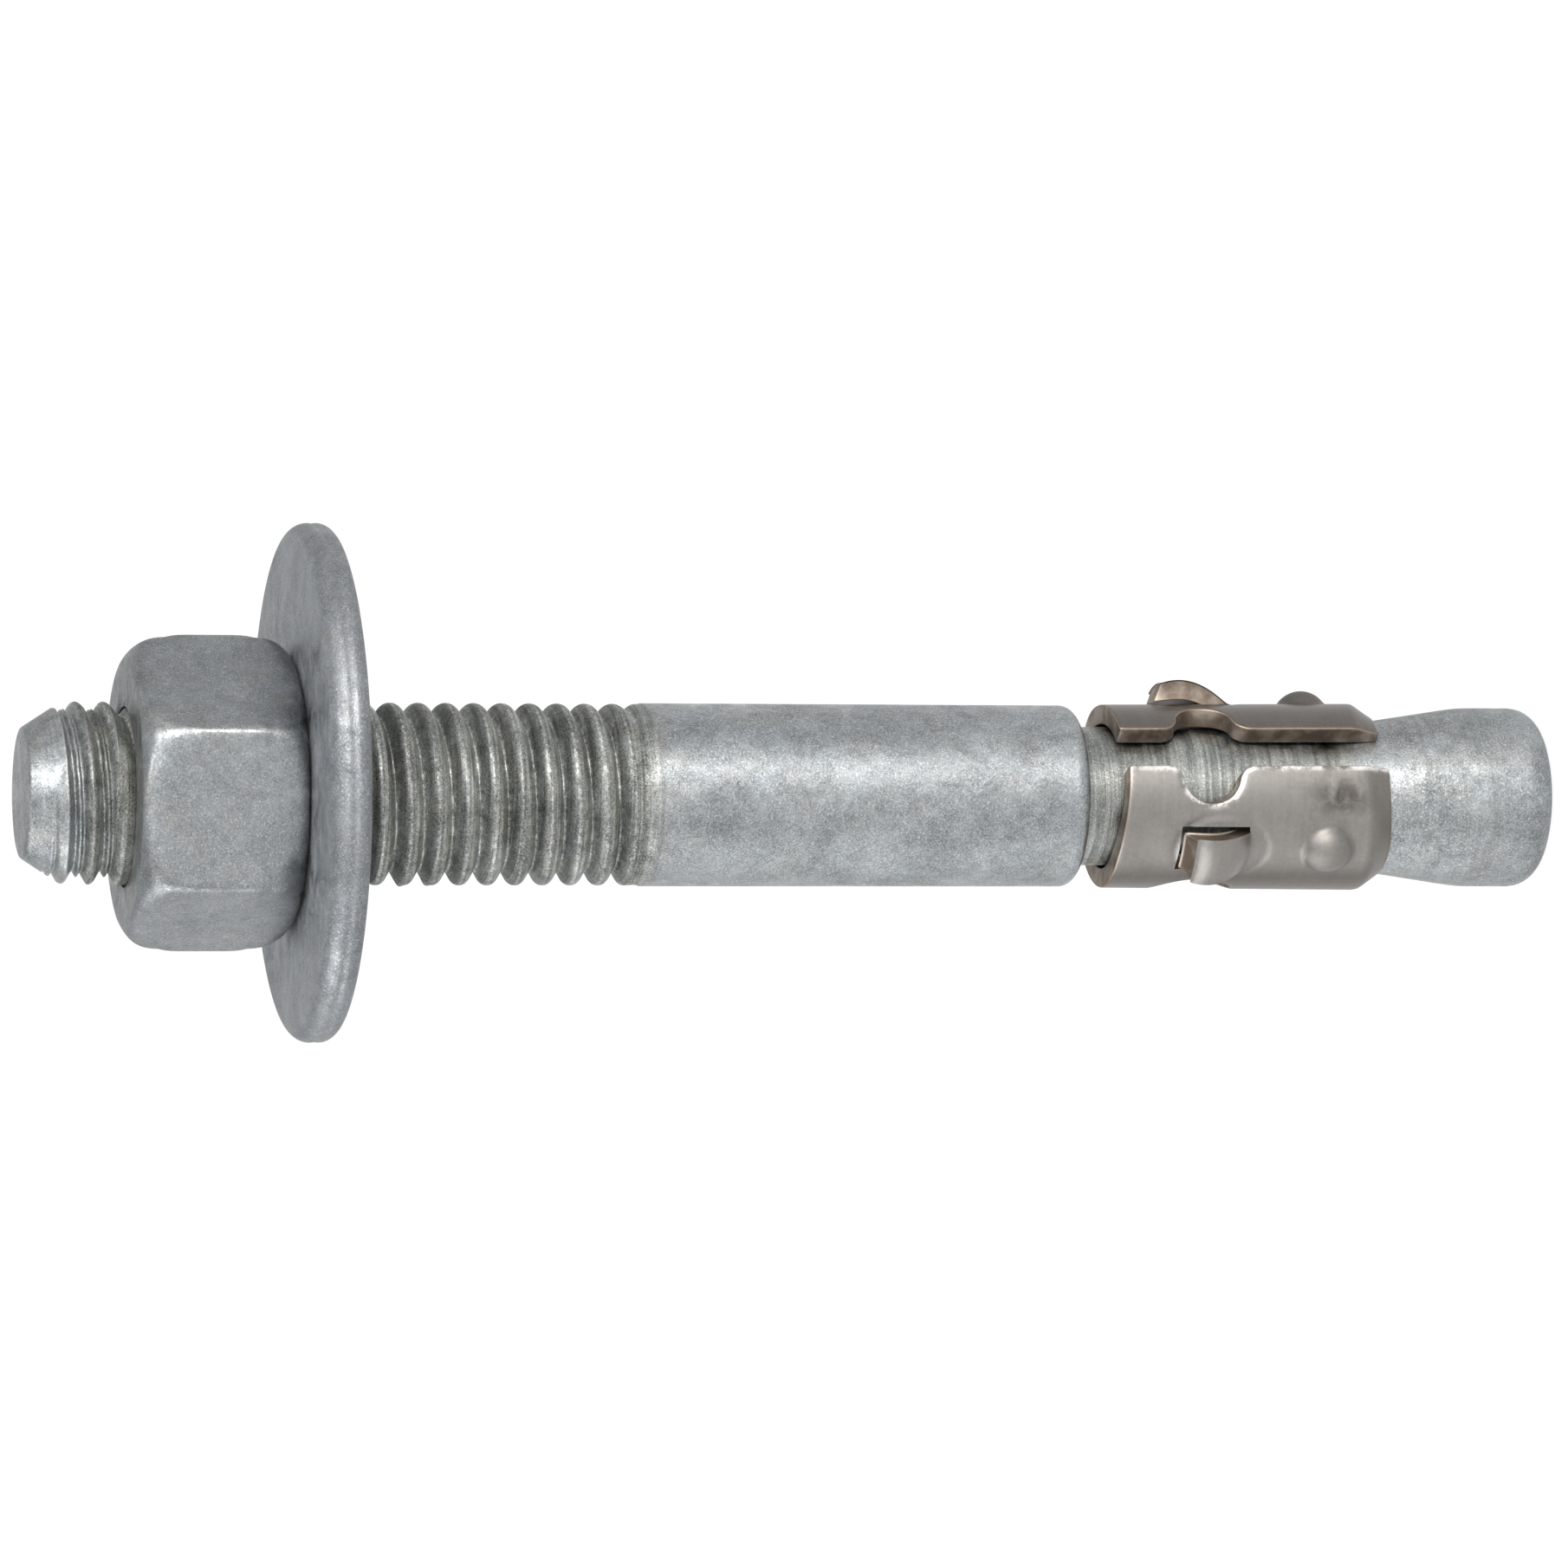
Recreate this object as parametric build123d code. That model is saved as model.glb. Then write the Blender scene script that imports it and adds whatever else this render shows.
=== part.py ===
from build123d import *
import math
import os

# Wedge anchor, in millimetres. It stands on its cone end with the stud's axis along +Z,
# and the origin is the centre of the flat face at the cone end.
# Angles run round the stud from +X towards +Y, in degrees.

# Stud: one piece with a cone at the bottom, a thin neck, a plain shank and a thread to the top
stud_length = 107.95
shank_diameter = 12.7
neck_diameter = 9.7
neck_length = 17.9
cone_land_diameter = 12.6
cone_land_length = 5.8
cone_taper = 8.6
cone_end_round = 1.9
shoulder_height = 1.5
shoulder_round = 0.5

# Threaded end: the solid is the envelope of the rolled thread's crests
thread_diameter = 12.6
thread_length = 43.1
thread_step_length = 0.3
tip_face_diameter = 8.9
tip_chamfer_angle = 33
tip_edge_chamfer = 0.15

# Hex nut: both ends are crowned, so that only a round face touches the washer
nut_across_flats = 19.05
nut_thickness = 11.4
nut_face_diameter = 18.3
nut_crown_radius = 3.0
nut_crown_steps = 2
nut_corner_angle = 53.3
nut_below_tip = 7.1
nut_bore_clearance = 0.1
nut_countersink = 0.6

# Washer: punched flat, with its edges broken, hanging off centre on the thread
washer_diameter = 35.75
washer_thickness = 2.77
washer_hole_clearance = 0.795
washer_edge_chamfer = 0.5
washer_hole_chamfer = 0.25
washer_seat_gap = 0.05
washer_rub_gap = 0.1

# Expansion clip: a strip rolled round the neck, in three segments that hold on by thin webs
clip_travel = 1.55
clip_thickness = 1.38
clip_neck_clearance = 0.2
clip_flare = 0.16
clip_lap = 3.6
clip_seat_clearance = 0.05
clip_bevel_length = 1.42
clip_lip = 0.14
clip_segments = 3
clip_split_width = 27
clip_split_angle = -56.5
clip_edge_chamfer = 0.12

# Round holes between the segments, halved where the strip's two ends meet,
# measured from the clip's end towards the nut
web_hole_diameter = 6.0
web_hole_below_top = 6.45
web_corner_round = 0.7

# Barb: a tongue sheared out of each segment, rooted towards the cone, free towards the nut
barb_root_below_top = 9.35
barb_length = 5.3
barb_width = 2.8
barb_rise = 1.75
barb_thickness = 1.15
barb_slot = 0.6
barb_flat = 1.5
barb_root_lean = 0.15
barb_crest_lean = 0.05

# Dimple: a round boss pressed out of each segment, measured from the clip's end at the cone
dimple_above_bottom = 4.85
dimple_diameter = 3.5
dimple_rise = 1.05
dimple_steps = 3
dimple_punch_diameter = 1.7
dimple_wall = 1.2

# How far a cutting shape runs past the face that it cuts, and how close an edge
# must lie to the place where it is looked for
cut_overshoot = 1
edge_match = 0.01
notch_edge_match = 0.2

# Places that follow from the sizes above
shank_radius = shank_diameter / 2
neck_radius = neck_diameter / 2
cone_land_radius = cone_land_diameter / 2
cone_slope = math.tan(math.radians(cone_taper))
cone_top = cone_land_length + (cone_land_radius - neck_radius) / cone_slope
shoulder_bottom = cone_top + neck_length
thread_bottom = stud_length - thread_length
thread_radius = thread_diameter / 2
tip_face_radius = tip_face_diameter / 2
tip_chamfer_length = (thread_radius - tip_face_radius) / math.tan(math.radians(tip_chamfer_angle))
nut_top = stud_length - nut_below_tip
nut_bottom = nut_top - nut_thickness
washer_top = nut_bottom - washer_seat_gap
washer_bottom = washer_top - washer_thickness
washer_hole_radius = shank_radius + washer_hole_clearance
washer_offset = washer_hole_radius - thread_radius - washer_rub_gap
clip_bottom = cone_top - clip_lap
clip_top = shoulder_bottom - clip_travel
clip_length = clip_top - clip_bottom
clip_bore_radius = neck_radius + clip_neck_clearance
clip_pitch_angle = (360 - clip_split_width) / clip_segments
web_hole_height = clip_top - web_hole_below_top
barb_root = clip_top - barb_root_below_top
barb_free_end = barb_root + barb_length
dimple_height = clip_bottom + dimple_above_bottom


def spin(profile):
    """A closed outline in the XZ plane, turned once round the stud's axis."""
    return revolve(make_face(profile), Axis.Z)


def ring_profile(*corners):
    """A closed outline of straight edges, each corner a radius and a height."""
    return Polyline(*[(radius, 0, height) for radius, height in corners], close=True)


def cone_radius(height):
    """The cone's radius at a height between its land and the neck."""
    return cone_land_radius - (height - cone_land_length) * cone_slope


def make_stud():
    """One turned outline: cone, neck, shank, and the threaded end with its chamfered tip."""
    body = spin(ring_profile(
        (0, 0),
        (cone_land_radius, 0),
        (cone_land_radius, cone_land_length),
        (neck_radius, cone_top),
        (neck_radius, shoulder_bottom),
        (shank_radius, shoulder_bottom + shoulder_height),
        (shank_radius, thread_bottom - thread_step_length),
        (thread_radius, thread_bottom),
        (thread_radius, stud_length - tip_chamfer_length),
        (tip_face_radius, stud_length),
        (0, stud_length),
    ))
    rings = body.edges().filter_by(GeomType.CIRCLE)
    body = fillet(rings.group_by(Axis.Z)[0], cone_end_round)
    rings = body.edges().filter_by(GeomType.CIRCLE)
    shoulder_top = shoulder_bottom + shoulder_height
    shoulder = [ring for ring in rings
                if shoulder_bottom - edge_match < ring.center().Z < shoulder_top + edge_match]
    body = fillet(shoulder, shoulder_round)
    rings = body.edges().filter_by(GeomType.CIRCLE)
    return chamfer(rings.group_by(Axis.Z)[-1], tip_edge_chamfer)


def make_nut():
    """Hexagon crowned at both ends, bored to clear the thread's crests and countersunk."""
    hexagon = RegularPolygon(nut_across_flats / 2, 6, major_radius=False)
    blank = extrude(Pos(0, 0, nut_bottom) * Rot(0, 0, nut_corner_angle) * hexagon, nut_thickness)

    corner_radius = nut_across_flats / math.sqrt(3)
    crown_centre = corner_radius - nut_crown_radius
    face_angle = math.asin((nut_face_diameter / 2 - crown_centre) / nut_crown_radius)
    crown_height = nut_crown_radius * math.cos(face_angle)

    def crown(face, inward):
        """Corners of the crown, from the rim of an end face round to the corner of the hexagon."""
        for step in range(nut_crown_steps + 1):
            angle = face_angle + (math.pi / 2 - face_angle) * step / nut_crown_steps
            radius = crown_centre + nut_crown_radius * math.sin(angle)
            yield radius, face + inward * (crown_height - nut_crown_radius * math.cos(angle))

    outline = [(0, nut_bottom), *crown(nut_bottom, 1), *reversed(list(crown(nut_top, -1))), (0, nut_top)]
    blank = blank & spin(ring_profile(*outline))

    bore_radius = thread_radius + nut_bore_clearance
    nut = blank - spin(ring_profile((0, nut_bottom), (bore_radius, nut_bottom), (bore_radius, nut_top),
                                    (0, nut_top)))
    rims = [edge for edge in nut.edges().filter_by(GeomType.CIRCLE)
            if abs(edge.radius - bore_radius) < edge_match]
    return chamfer(rims, nut_countersink)


def make_washer():
    """Flat ring that rests on the thread inside its hole, so its centre lies to one side."""
    disc = Cylinder(washer_diameter / 2, washer_thickness)
    disc = chamfer(disc.edges().filter_by(GeomType.CIRCLE), washer_edge_chamfer)
    ring = disc - Cylinder(washer_hole_radius, washer_thickness)
    rims = [edge for edge in ring.edges().filter_by(GeomType.CIRCLE)
            if abs(edge.radius - washer_hole_radius) < edge_match]
    ring = chamfer(rims, washer_hole_chamfer)
    return Pos(washer_offset, 0, (washer_top + washer_bottom) / 2) * ring


def clip_outer_radius(height):
    """Outside radius of the clip, which widens towards the cone."""
    return clip_bore_radius + clip_thickness + clip_flare * (clip_top - height) / clip_length


def clip_shell():
    """The rolled strip as a full tube: flared, bevelled at the cone end and seated on the cone."""
    lip_radius = cone_radius(clip_bottom) + clip_seat_clearance + clip_lip
    bevel_top = clip_bottom + clip_bevel_length
    shell = spin(ring_profile(
        (clip_bore_radius, clip_top),
        (clip_bore_radius + clip_flare, clip_bottom),
        (lip_radius, clip_bottom),
        (clip_outer_radius(bevel_top), bevel_top),
        (clip_outer_radius(clip_top), clip_top),
    ))
    seat_bottom = clip_bottom - cut_overshoot
    seat_top = cone_top + cut_overshoot
    seat = spin(ring_profile(
        (0, seat_bottom),
        (cone_radius(seat_bottom) + clip_seat_clearance, seat_bottom),
        (cone_radius(seat_top) + clip_seat_clearance, seat_top),
        (0, seat_top),
    ))
    shell -= seat
    top_rims = shell.edges().filter_by(GeomType.CIRCLE).group_by(Axis.Z)[-1]
    return chamfer(top_rims, clip_edge_chamfer)


def radial_place(angle, height):
    """A workplane that looks straight out from the stud's axis at an angle and a height."""
    return Rot(0, 0, angle) * Pos(0, 0, height) * Rot(0, 90, 0)


def wedge(start, end, reach, bottom, top):
    """A slice of a cylinder between two angles."""
    slice_face = make_face([
        Line((0, 0), (reach * math.cos(math.radians(start)), reach * math.sin(math.radians(start)))),
        CenterArc((0, 0), reach, start, end - start),
        Line((reach * math.cos(math.radians(end)), reach * math.sin(math.radians(end))), (0, 0)),
    ])
    return Pos(0, 0, bottom) * extrude(slice_face, top - bottom)


def make_barb(angle):
    """One tongue of the strip, bent out towards the nut: a curved ramp that ends in a cut edge."""
    outer = clip_outer_radius(barb_root)
    crest = outer + barb_rise
    middle = (outer + crest) / 2
    flat_start = barb_free_end - barb_flat
    bend = (barb_root + flat_start) / 2
    outline = [
        Spline((outer, 0, barb_root), (middle, 0, bend), (crest, 0, flat_start),
               tangents=((barb_root_lean, 0, 1), (barb_crest_lean, 0, 1))),
        Line((crest, 0, flat_start), (crest, 0, barb_free_end)),
        Line((crest, 0, barb_free_end), (crest - barb_thickness, 0, barb_free_end)),
        Line((crest - barb_thickness, 0, barb_free_end), (crest - barb_thickness, 0, flat_start)),
        Spline((crest - barb_thickness, 0, flat_start),
               (middle - barb_thickness, 0, bend),
               (outer - barb_thickness, 0, barb_root),
               tangents=((-barb_crest_lean, 0, -1), (-barb_root_lean, 0, -1))),
        Line((outer - barb_thickness, 0, barb_root), (outer, 0, barb_root)),
    ]
    half = math.degrees(barb_width / 2 / outer)
    return Rot(0, 0, angle - half) * revolve(make_face(outline), Axis.Z, 2 * half)


def barb_window(angle):
    """The slot sheared round a tongue on its two sides and its free end."""
    outer = clip_outer_radius(barb_root)
    half = math.degrees((barb_width / 2 + barb_slot) / outer)
    reach = outer + barb_rise + cut_overshoot
    return wedge(angle - half, angle + half, reach, barb_root, barb_free_end + barb_slot)


def make_dimple(angle):
    """The boss outside, a dome in steps, and the hollow inside that a blunt punch leaves."""
    surface = clip_outer_radius(dimple_height)
    half = dimple_diameter / 2
    ball = (half ** 2 + dimple_rise ** 2) / (2 * dimple_rise)
    rim_angle = math.asin(half / ball)
    foot = clip_thickness / 2
    dome = [(0, -foot), (half, -foot)]
    for step in range(dimple_steps, 0, -1):
        across = rim_angle * step / dimple_steps
        dome.append((ball * math.sin(across), dimple_rise - ball * (1 - math.cos(across))))
    dome.append((0, dome[-1][1]))
    place = radial_place(angle, dimple_height)
    boss = place * Pos(0, 0, surface) * spin(ring_profile(*dome))
    deep = surface + dimple_rise - dimple_wall
    punch_radius = dimple_punch_diameter / 2
    hollow = place * Cylinder(punch_radius, deep, align=(Align.CENTER, Align.CENTER, Align.MIN))
    return boss, hollow


def make_clip():
    """The strip with its split, its web holes, and a barb and a dimple on each segment."""
    shell = clip_shell()
    reach = clip_outer_radius(clip_bottom) + cut_overshoot
    split_start = clip_split_angle - clip_split_width / 2
    split_end = clip_split_angle + clip_split_width / 2
    shell -= wedge(split_start, split_end, reach, clip_bottom - cut_overshoot, clip_top + cut_overshoot)

    for segment in range(clip_segments + 1):
        angle = split_end + segment * clip_pitch_angle
        hole = Cylinder(web_hole_diameter / 2, reach, align=(Align.CENTER, Align.CENTER, Align.MIN))
        shell -= radial_place(angle, web_hole_height) * hole

    notch_corners = [edge for edge in shell.edges().filter_by(GeomType.LINE)
                     if abs(abs(edge.center().Z - web_hole_height) - web_hole_diameter / 2) < notch_edge_match
                     and abs(edge.length - clip_thickness) < 2 * notch_edge_match]
    shell = fillet(notch_corners, web_corner_round)

    for segment in range(clip_segments):
        middle = split_end + (segment + 0.5) * clip_pitch_angle
        shell -= barb_window(middle)
        shell += make_barb(middle)
        boss, hollow = make_dimple(middle)
        shell += boss
        shell -= hollow
    return shell


os.makedirs("parts", exist_ok=True)
pieces = {
    "stud": make_stud(),
    "hex_nut": make_nut(),
    "washer": make_washer(),
    "expansion_clip": make_clip(),
}
for name, piece in pieces.items():
    export_step(piece, f"parts/{name}.step")
    print(name, "solids", len(piece.solids()), "volume", round(piece.volume, 2), "faces", len(piece.faces()))
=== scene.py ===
# %% [markdown]
# # A wedge anchor, dressed for its portrait
#
# A wedge anchor is a threaded stud that is hammered into a drilled hole. A stainless clip sits loose on its
# neck, and when the nut is tightened the cone is drawn up into the clip, which spreads and grips the hole.
#
# The part comes from CAD as a fixed frame: four solids at their real size, on the bodies that move. They
# are right in size, but their faces are plain, and the threaded end is only the envelope of its crests.
# This lesson keeps their places and gives each piece the skin that the real one has: a rolled thread, a
# forged nut, a punched washer and a clip stamped from strip and rolled round the neck.

# %% Frame and tools
import math

import bpy
import numpy as np
from mathutils import Matrix, Vector
from mathutils.geometry import delaunay_2d_cdt


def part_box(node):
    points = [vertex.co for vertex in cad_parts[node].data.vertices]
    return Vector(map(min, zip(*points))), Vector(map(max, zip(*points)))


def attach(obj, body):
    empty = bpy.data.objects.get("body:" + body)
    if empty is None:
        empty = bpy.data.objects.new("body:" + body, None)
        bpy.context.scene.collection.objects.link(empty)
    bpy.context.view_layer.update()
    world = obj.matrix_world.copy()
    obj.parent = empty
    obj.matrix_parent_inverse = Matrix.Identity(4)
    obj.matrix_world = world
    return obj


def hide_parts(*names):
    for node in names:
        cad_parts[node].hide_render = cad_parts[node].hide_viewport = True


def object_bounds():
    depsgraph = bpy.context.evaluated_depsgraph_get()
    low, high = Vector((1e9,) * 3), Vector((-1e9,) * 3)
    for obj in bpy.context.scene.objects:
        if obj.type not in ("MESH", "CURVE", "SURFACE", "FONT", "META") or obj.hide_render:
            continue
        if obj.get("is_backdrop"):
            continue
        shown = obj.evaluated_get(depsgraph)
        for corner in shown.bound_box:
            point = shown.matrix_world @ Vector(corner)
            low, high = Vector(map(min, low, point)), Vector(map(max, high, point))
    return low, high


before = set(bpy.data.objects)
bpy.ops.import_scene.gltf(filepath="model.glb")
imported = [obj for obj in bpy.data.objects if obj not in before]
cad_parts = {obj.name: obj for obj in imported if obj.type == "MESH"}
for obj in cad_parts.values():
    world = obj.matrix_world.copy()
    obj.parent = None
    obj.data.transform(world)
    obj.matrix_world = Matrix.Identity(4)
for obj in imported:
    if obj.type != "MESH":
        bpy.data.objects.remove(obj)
cad_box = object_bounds()
MM = 0.001

# %% [markdown]
# ## The sizes that the frame already knows
#
# A number that CAD owns is never typed again here. The lowest and highest corners of each solid give its
# length, its radius and its place, and everything below is worked out from them. Lengths in this lesson
# are in millimetres, because that is how a maker reads them, and they become metres when a mesh is made.

# %% Sizes read from the frame
stud_low, stud_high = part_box("stud")
nut_low, nut_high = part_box("hex_nut")
washer_low, washer_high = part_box("washer")
clip_low, clip_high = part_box("expansion_clip")

tip_height = stud_high.z / MM
shank_radius = stud_high.x / MM
nut_bottom, nut_top = nut_low.z / MM, nut_high.z / MM
washer_bottom, washer_top = washer_low.z / MM, washer_high.z / MM
washer_lean_room = 0.01
washer_radius = (washer_high.y - washer_low.y) / 2 / MM - washer_lean_room
washer_offset = (washer_high.x + washer_low.x) / 2 / MM
clip_bottom, clip_top = clip_low.z / MM, clip_high.z / MM
print("stud", round(tip_height, 2), "long,", round(2 * shank_radius, 2), "across the shank")
print("nut from", round(nut_bottom, 2), "to", round(nut_top, 2), "and clip from", round(clip_bottom, 2),
      "to", round(clip_top, 2))

# %% [markdown]
# ## Skins made of rings
#
# The stud, the nut and the washer are all bodies of turning, with something added. Blender could spin an
# outline with its Screw modifier, but a thread that runs out into a shank, or a hexagon that melts into a
# round crown, needs a radius that changes round the axis as well. So each skin is a stack of rings whose
# points sit at a radius worked out from height and angle, and one helper joins the rings into quads.

# %% Ring helper
def ring_mesh(name, radius, height, angles, closed_loop, centre=(0, 0), marks=None):
    """A skin from a table of radii, one row for each ring and one column for each angle.
    A closed loop joins the last ring to the first. Otherwise each end closes on a point of the axis.
    Marks are tables of the same shape, which the materials read by name."""
    rows, columns = radius.shape
    x = centre[0] + radius * np.cos(angles)
    y = centre[1] + radius * np.sin(angles)
    z = np.broadcast_to(height, radius.shape)
    points = np.stack([x, y, z], axis=2).reshape(-1, 3)

    row = np.arange(rows if closed_loop else rows - 1)[:, None]
    column = np.arange(columns)[None, :]
    here, beside = row * columns, (row + 1) % rows * columns
    after = (column + 1) % columns
    quads = np.stack([here + column, here + after, beside + after, beside + column], axis=2)
    faces = quads.reshape(-1, 4).tolist()
    if not closed_loop:
        low, high = len(points), len(points) + 1
        ends = [(centre[0], centre[1], z[0, 0]), (centre[0], centre[1], z[-1, 0])]
        points = np.vstack([points, ends])
        last = (rows - 1) * columns
        faces += [(low, (c + 1) % columns, c) for c in range(columns)]
        faces += [(high, last + c, last + (c + 1) % columns) for c in range(columns)]
    values = {}
    for mark, table in (marks or {}).items():
        flat = np.broadcast_to(table, radius.shape).ravel()
        values[mark] = np.pad(flat, (0, len(points) - len(flat)))
    return make_piece(name, points, faces, values)


def make_piece(name, points, faces, marks):
    """A mesh object from points in millimetres, with one value of each mark at every point."""
    mesh = bpy.data.meshes.new(name)
    mesh.from_pydata((np.asarray(points) * MM).tolist(), [], faces)
    mesh.shade_smooth()
    for mark, values in marks.items():
        layer = mesh.attributes.new(mark, "FLOAT", "POINT")
        layer.data.foreach_set("value", np.ascontiguousarray(values, dtype=np.float32))
    piece = bpy.data.objects.new(name, mesh)
    bpy.context.scene.collection.objects.link(piece)
    print(name, "has", len(faces), "faces and the marks", list(marks))
    return piece


# %% [markdown]
# ## Corners without a bevel
#
# On a skin of rings a corner is where two outlines cross, and a plain minimum of the two leaves it razor
# sharp. The softened minimum rounds it by an amount that one number sets, so no Bevel modifier has to find
# the edge. A smooth step fades one thing into the next in the same way.

# %% Outline helpers
def arc(centre_r, centre_z, size, start, end, steps):
    """Points of an arc in the plane of radius and height, angles in degrees from straight out."""
    turn = np.radians(np.linspace(start, end, steps))
    return [(centre_r + size * math.cos(a), centre_z + size * math.sin(a)) for a in turn]


def soft_min(a, b, blend):
    """The smaller of two sizes, rounded over where they cross."""
    return -blend * np.logaddexp(-a / blend, -b / blend)


def soft_max(a, b, blend):
    return blend * np.logaddexp(a / blend, b / blend)


def smoothstep(low, high, value):
    share = np.clip((value - low) / (high - low), 0, 1)
    return share * share * (3 - 2 * share)


print("a blend of 0.1 takes", round(-float(soft_min(0.0, 0.0, 0.1)), 3), "off a corner")

# %% [markdown]
# ## The rolled thread
#
# A half-inch thread of thirteen turns to the inch climbs 1.954 mm a turn, right-handed. Rolling squeezes
# the metal up between the dies, so its crests are round, and zinc then fills the roots a little. One
# function gives how far the surface lies below the crest at any height and angle. The stud and the nut
# both use it, so their threads mesh, and they go on meshing when the nut turns.

# %% Thread form
pitch = 25.4 / 13
thread_crest_height = 82.41
thread_crest_radius = 6.3
thread_crest_round = 0.64
thread_root_round = 0.06
thread_half_angle = 30


def crest_distance(height, angle):
    """Distance along the axis to the nearest crest, negative on the side towards the tip."""
    turns = (thread_crest_height - height) / pitch + angle / (2 * math.pi)
    return (turns - np.round(turns)) * pitch


def thread_drop(height, angle):
    """How far the thread's surface lies below its crest, at a height and an angle in radians."""
    along = np.abs(crest_distance(height, angle))
    steep = 1 / math.tan(math.radians(thread_half_angle))
    lean = math.radians(90 - thread_half_angle)
    crest_reach = thread_crest_round * math.sin(lean)
    root_reach = thread_root_round * math.sin(lean)
    flank_start = thread_crest_round * (1 - math.cos(lean))
    flank = flank_start + (along - crest_reach) * steep
    root_flank_end = flank_start + (pitch / 2 - crest_reach - root_reach) * steep
    depth = root_flank_end + thread_root_round * (1 - math.cos(lean))
    crest = thread_crest_round - np.sqrt(np.clip(thread_crest_round ** 2 - along ** 2, 0, None))
    from_root = pitch / 2 - along
    root = depth - thread_root_round + np.sqrt(np.clip(thread_root_round ** 2 - from_root ** 2, 0, None))
    return np.where(along < crest_reach, crest, np.where(from_root < root_reach, root, flank))


thread_depth = float(thread_drop(np.array([thread_crest_height + pitch / 2]), 0)[0])
print("thread", round(thread_depth, 2), "deep and", round(pitch, 3), "a turn")

# %% [markdown]
# ## The stud's outline
#
# From the bottom up: a flat end with a rounded edge, a straight land, a cone that narrows to the thin neck,
# a rounded shoulder, the plain shank, and the thread with a chamfered tip. The thread isn't cut into this
# outline. It is subtracted from the rings afterwards, and its depth fades to nothing over the last turn,
# which is how a rolling die leaves the end of a thread.

# %% Stud sizes
cone_land_radius = 6.3
cone_taper = 8.6
cone_land_length = 5.8
cone_end_round = 1.9
cone_blend = 0.05
neck_radius = 4.85
neck_middle = 25
neck_blend = 0.03
shoulder_bottom = 33.86
shoulder_round = 1.0
shoulder_steepness = 12
shoulder_blend = 0.02
tip_face_radius = 4.45
tip_chamfer_angle = 33
tip_blend = 0.08
thread_bottom = 64.85
thread_fade = 1.9
rings_per_turn = 18

cone_slope = math.tan(math.radians(cone_taper))
cone_top = cone_land_length + (cone_land_radius - neck_radius) / cone_slope
print("neck from", round(cone_top, 2), "to", shoulder_bottom)


# %% Stud radius
def cone_radius(height):
    return cone_land_radius - (height - cone_land_length) * cone_slope


def stud_radius(height):
    """The stud's radius without its thread, above its rounded lower edge."""
    cone = soft_min(cone_radius(height), cone_land_radius + 0.02, cone_blend)
    taper = soft_max(cone, neck_radius, neck_blend)
    under = np.clip(shoulder_bottom + shoulder_round - height, 0, shoulder_round)
    shoulder = shank_radius - shoulder_round + np.sqrt(shoulder_round ** 2 - under ** 2)
    open_neck = neck_radius + shoulder_steepness * np.clip(height - shoulder_bottom + 0.05, 0, None)
    on_shoulder = height < shoulder_bottom + shoulder_round
    above = np.where(on_shoulder, soft_min(shoulder, open_neck, shoulder_blend), shank_radius)
    radius = np.where(height < neck_middle, taper, above)
    tip_chamfer = tip_face_radius + (tip_height - height) * math.tan(math.radians(tip_chamfer_angle))
    rolled = smoothstep(thread_bottom - 0.4, thread_bottom + 1.2, height)
    body = radius - (shank_radius - thread_crest_radius) * rolled
    return soft_min(body, tip_chamfer, tip_blend)


def stud_outline():
    """Radius and height of every ring: the flat end, the side, and the face of the tip.
    The rings lie close together where the outline turns, and evenly along the thread."""
    stretches = [(cone_end_round, cone_land_length + 3.2, 30), (cone_land_length + 3.5, cone_top - 1, 12),
                 (cone_top - 0.8, cone_top + 0.8, 9), (cone_top + 1.5, shoulder_bottom - 0.66, 12),
                 (shoulder_bottom - 0.26, shoulder_bottom + 0.24, 16),
                 (shoulder_bottom + 0.29, shoulder_bottom + 1.24, 14),
                 (shoulder_bottom + 2.14, thread_bottom - 1, 16)]
    plain = [np.linspace(start, stop, rings) for start, stop, rings in stretches]
    thread = np.arange(thread_bottom - 0.8, tip_height - 0.12, pitch / rings_per_turn)
    side = np.concatenate(plain + [thread])
    end = [(r, 0.0) for r in (1.5, 3.0, cone_land_radius - cone_end_round)]
    end += arc(cone_land_radius - cone_end_round, cone_end_round, cone_end_round, -80, -4, 10)
    tip = [(tip_face_radius + 0.02, tip_height - 0.06), (tip_face_radius - 0.12, tip_height - 0.015),
           (tip_face_radius - 0.4, tip_height), (2.5, tip_height), (1.0, tip_height)]
    return np.array(end + list(zip(stud_radius(side), side)) + tip).T[:, :, None]


outline_r, outline_z = stud_outline()
print("the stud has", len(outline_z), "rings")

# %% [markdown]
# ## The thread on the stud
#
# The thread could be a spiral ridge laid on the stud, but a rolled thread is the stud's own metal, so it is
# sunk into the rings. Near the tip the real first groove is pulled towards the tip, where the blank gave way
# under the dies. The nut still has to pass, so nothing there stands more than a set room past the even
# thread. Two small burrs of zinc sit on the crests.
#
# The material needs to know where it is, so each point also carries marks: in the thread, on a worn crest,
# along a root, on the flank towards the cone end, and where the metal was turned or pressed.

# %% Thread on the stud
lead_in_height = 100.4
lead_in_stretch = 0.55
lead_in_room = 0.14
lead_in_blend = 0.04
burrs = ((81.7, 3.1), (79.8, 3.04))
burr_rise = 0.14
burr_half_height = 0.25
burr_half_angle = 0.07
stud_columns = 184

stud_angles = np.linspace(0, 2 * math.pi, stud_columns, endpoint=False)[None, :]
stretched_z = outline_z - lead_in_stretch * smoothstep(lead_in_height, lead_in_height + 1.6, outline_z)
thread_share = smoothstep(thread_bottom, thread_bottom + thread_fade, outline_z)


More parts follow.
